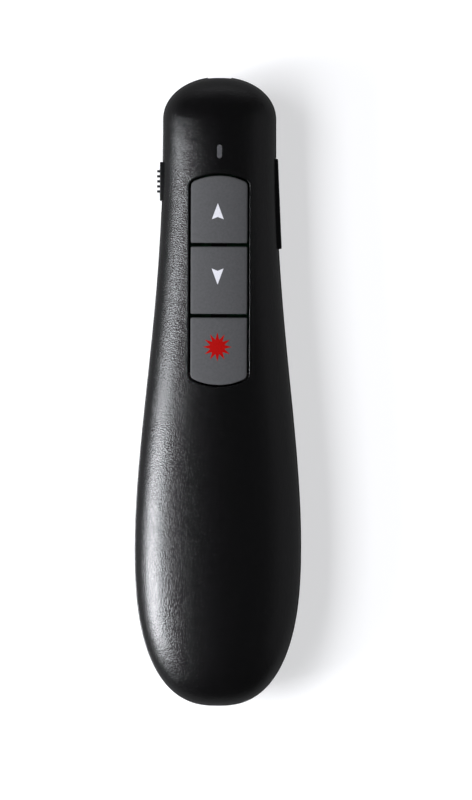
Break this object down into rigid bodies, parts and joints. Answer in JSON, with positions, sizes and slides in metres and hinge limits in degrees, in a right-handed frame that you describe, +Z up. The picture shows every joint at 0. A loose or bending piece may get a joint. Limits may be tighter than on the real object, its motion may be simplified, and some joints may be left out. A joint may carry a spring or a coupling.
{
  "type": "laser pointer",
  "caption": "Hand-held wireless presenter with a laser pointer: paddle-shaped black case, grey keys in a column, side slider and rocker, battery door, stowed USB receiver",
  "frame": {"origin": "in the plane of the table, below the middle of the case, which lies on its back", "axes": "+X across the case to its right side, +Y along it to the laser end, +Z up out of the keys"},
  "size_m": [0.036, 0.1358, 0.0211],
  "materials": {
    "case_black": "spark-eroded texture, satin",
    "key_grey": "soft satin",
    "control_black": "matte",
    "smoked_clear": "smoked light pipe, smooth",
    "inner_plastic": "satin",
    "circuit_board": "solder mask",
    "chip_black": "moulded",
    "plated_steel": "nickel plated",
    "brass": "turned",
    "lens_glass": "clear",
    "cell_jacket": "printed jacket, plain",
    "white_plastic": "satin"
  },
  "bodies": {
    "housing": {"upper_shell": "case_black", "lower_shell": "case_black", "led_window": "smoked_clear", "aperture_ring": "inner_plastic", "main_board": "circuit_board", "laser_driver_board": "circuit_board", "controller_chip": "chip_black", "tact_base_page_up": "chip_black", "tact_base_page_down": "chip_black", "tact_base_laser": "chip_black", "side_tact_base_front": "chip_black", "side_tact_base_rear": "chip_black", "crystal_can": "plated_steel", "switch_housing": "plated_steel", "rocker_pin": "plated_steel", "board_screw_front": "plated_steel", "board_screw_rear": "plated_steel", "shell_screw_front_left": "plated_steel", "shell_screw_front_right": "plated_steel", "shell_screw_rear_left": "plated_steel", "shell_screw_rear_right": "plated_steel", "laser_diode": "plated_steel", "contact_positive": "plated_steel", "contact_negative": "plated_steel", "contact_bridge": "plated_steel", "spring_front": "plated_steel", "spring_tail": "plated_steel", "laser_barrel": "brass", "laser_lens": "lens_glass", "aperture_window": "lens_glass", "battery_left": "cell_jacket", "battery_right": "cell_jacket", "led_chip": "white_plastic"},
    "button_page_up": {"key_page_up": "key_grey", "tact_plunger_page_up": "white_plastic"},
    "button_page_down": {"key_page_down": "key_grey", "tact_plunger_page_down": "white_plastic"},
    "button_laser": {"key_laser": "key_grey", "tact_plunger_laser": "white_plastic"},
    "slider": {"power_slider": "control_black", "switch_actuator": "white_plastic"},
    "rocker": {"rocker_key": "control_black"},
    "plunger_front": {"side_plunger_front": "white_plastic"},
    "plunger_rear": {"side_plunger_rear": "white_plastic"},
    "door": {"battery_door": "case_black"},
    "receiver": {"receiver_head": "inner_plastic", "receiver_plug": "plated_steel", "receiver_tongue": "white_plastic"}
  },
  "joints": [
    {"name": "page_up_press", "type": "slide", "parent": "housing", "child": "button_page_up", "axis": [0, 0, -1], "range_m": [0, 0.00035], "stiffness_N_per_m": 2000, "springref_m": -0.0003},
    {"name": "page_down_press", "type": "slide", "parent": "housing", "child": "button_page_down", "axis": [0, 0, -1], "range_m": [0, 0.00035], "stiffness_N_per_m": 2000, "springref_m": -0.0003},
    {"name": "laser_press", "type": "slide", "parent": "housing", "child": "button_laser", "axis": [0, 0, -1], "range_m": [0, 0.00035], "stiffness_N_per_m": 2000, "springref_m": -0.0003},
    {"name": "power_slide", "type": "slide", "parent": "housing", "child": "slider", "axis": [0, -1, 0], "range_m": [0, 0.0022]},
    {"name": "rocker_tilt", "type": "hinge", "parent": "housing", "child": "rocker", "pos_m": [0.00912, 0.04055, 0.0112], "axis": [0, 0, 1], "range_deg": [-1.6, 1.6], "stiffness_Nm_per_rad": 0.3},
    {"name": "front_plunger_press", "type": "slide", "parent": "housing", "child": "plunger_front", "axis": [1, 0, 0], "range_m": [-0.0002, 0.0002]},
    {"name": "rear_plunger_press", "type": "slide", "parent": "housing", "child": "plunger_rear", "axis": [1, 0, 0], "range_m": [-0.0002, 0.0002]},
    {"name": "door_swing", "type": "hinge", "parent": "housing", "child": "door", "pos_m": [0, 0.00225, 0], "axis": [1, 0, 0], "range_deg": [0, 70]},
    {"name": "receiver_slide", "type": "slide", "parent": "housing", "child": "receiver", "axis": [0, -1, 0], "range_m": [0, 0.02]}
  ],
  "couplings": [
    {"joint": "front_plunger_press", "follows": "rocker_tilt", "m_per_rad": -0.007},
    {"joint": "rear_plunger_press", "follows": "rocker_tilt", "m_per_rad": 0.007}
  ]
}
